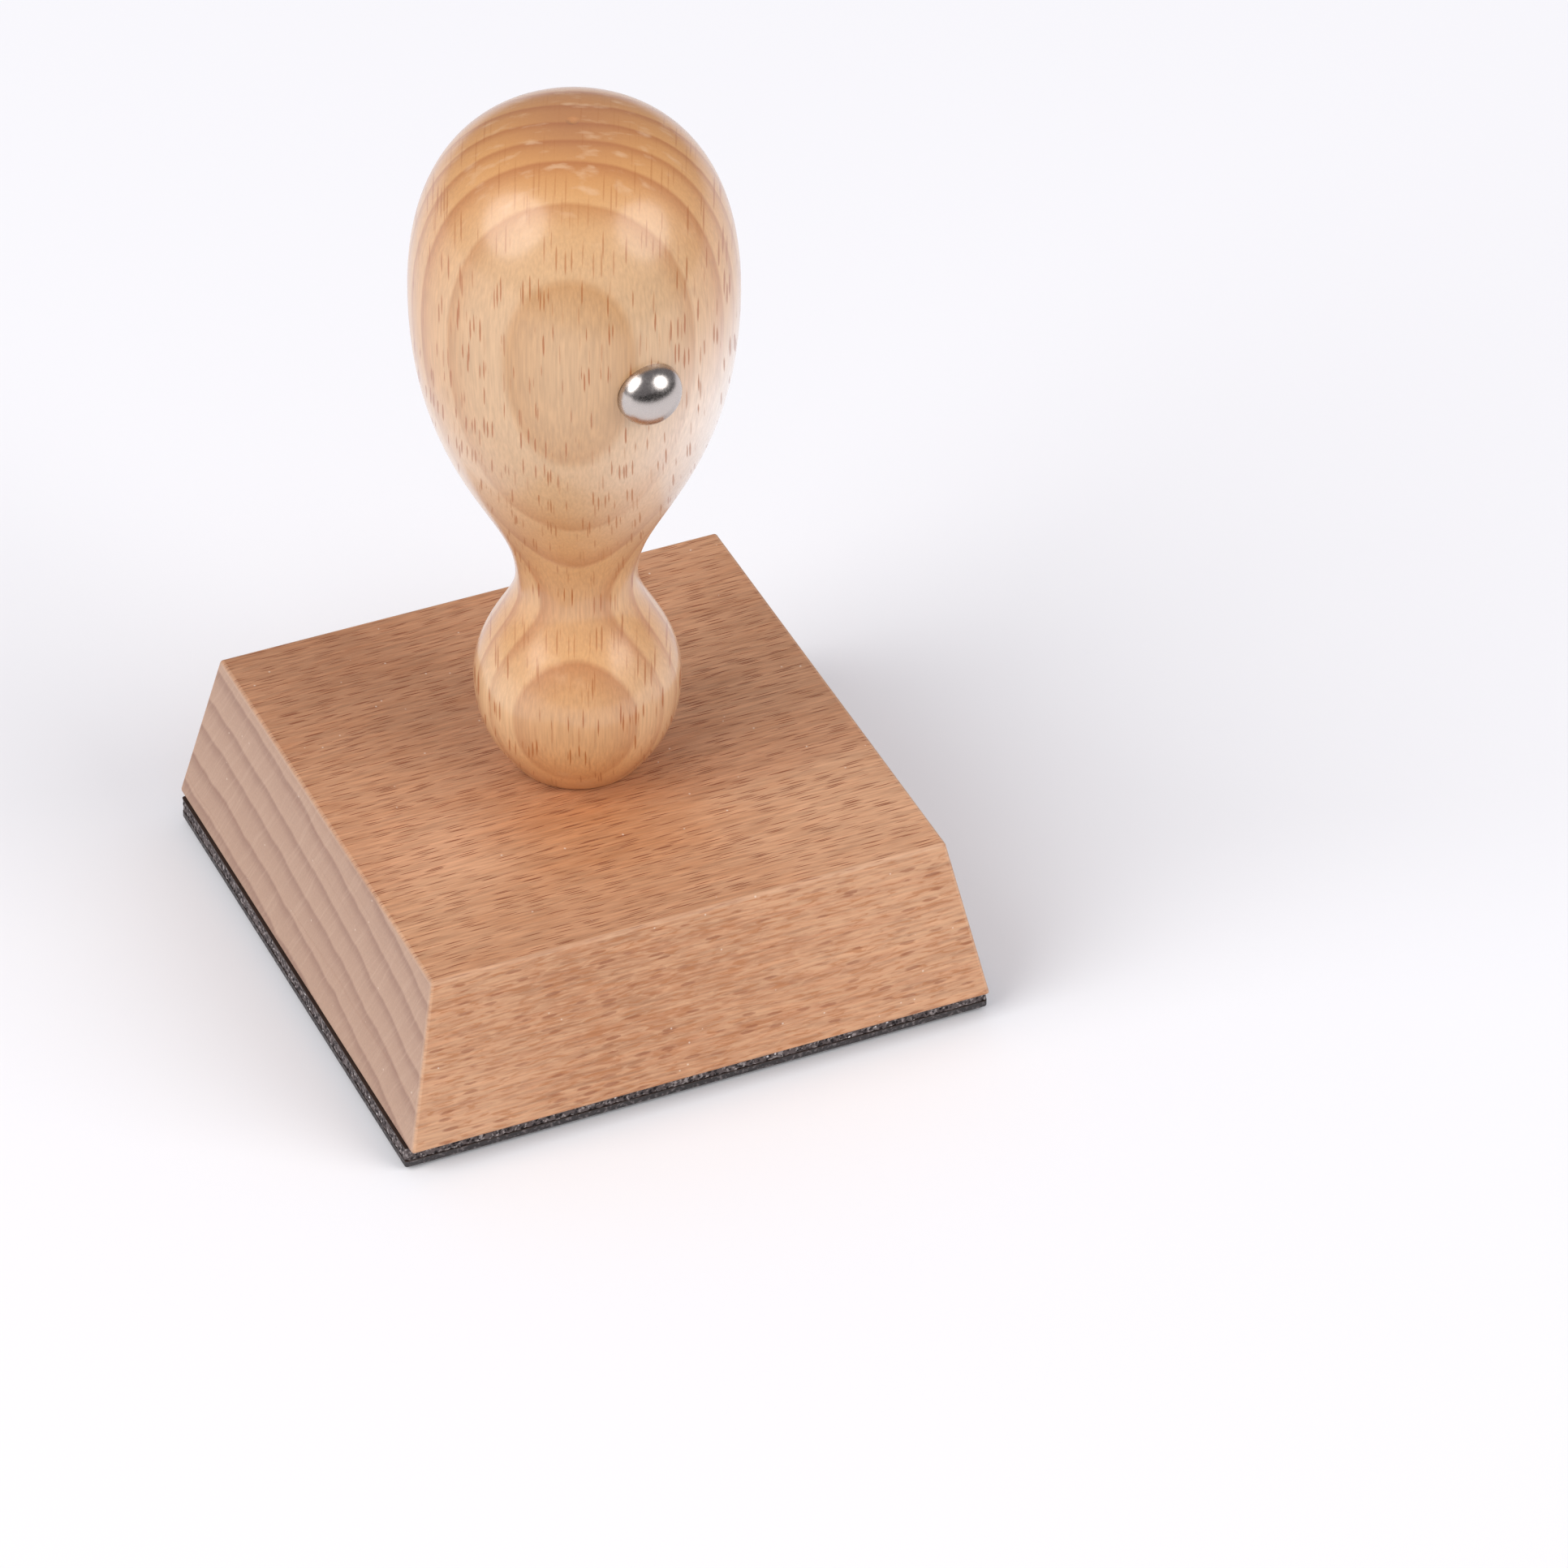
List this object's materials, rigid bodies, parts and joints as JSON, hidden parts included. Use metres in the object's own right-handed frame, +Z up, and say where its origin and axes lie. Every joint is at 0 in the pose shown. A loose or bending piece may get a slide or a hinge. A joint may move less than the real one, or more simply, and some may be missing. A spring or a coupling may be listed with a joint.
{
  "type": "rubber stamp",
  "caption": "Hand stamp: a turned beech handle screwed to a bevelled square beech mount, over a foam cushion and a rubber printing die that gives a little when pressed.",
  "frame": {"origin": "centre of the stamp's outline on the plane of the printing face, which rests on the paper", "axes": "+Z up along the handle, -Y towards the front of the stamp, where the marker stud is, +X to the right"},
  "size_m": [0.064, 0.0644, 0.0981],
  "materials": {
    "lacquered_beech": "turned steamed beech under clear gloss lacquer",
    "sanded_beech": "sawn and sanded, bare, softened edges",
    "nickel_plate": "bright nickel plate on a pressed cap",
    "zinc_plated_steel": "bright zinc plate",
    "adhesive_film": "thin double-sided adhesive film",
    "charcoal_foam": "open-celled sponge, charcoal, matt",
    "black_rubber": "engraved sheet rubber, matt"
  },
  "bodies": {
    "die": {"rubber_die": "black_rubber", "die_adhesive": "adhesive_film", "foam_cushion": "charcoal_foam"},
    "mount": {"mount_adhesive": "adhesive_film", "mount_block": "sanded_beech", "turned_handle": "lacquered_beech", "handle_screw": "zinc_plated_steel", "marker_stud_cap": "nickel_plate", "marker_stud_pin": "zinc_plated_steel"}
  },
  "joints": [
    {"name": "cushion_press", "type": "slide", "parent": "die", "child": "mount", "axis": [0, 0, -1], "range_m": [0, 0.0007], "stiffness_N_per_m": 40000, "deforming": ["foam_cushion"]}
  ]
}
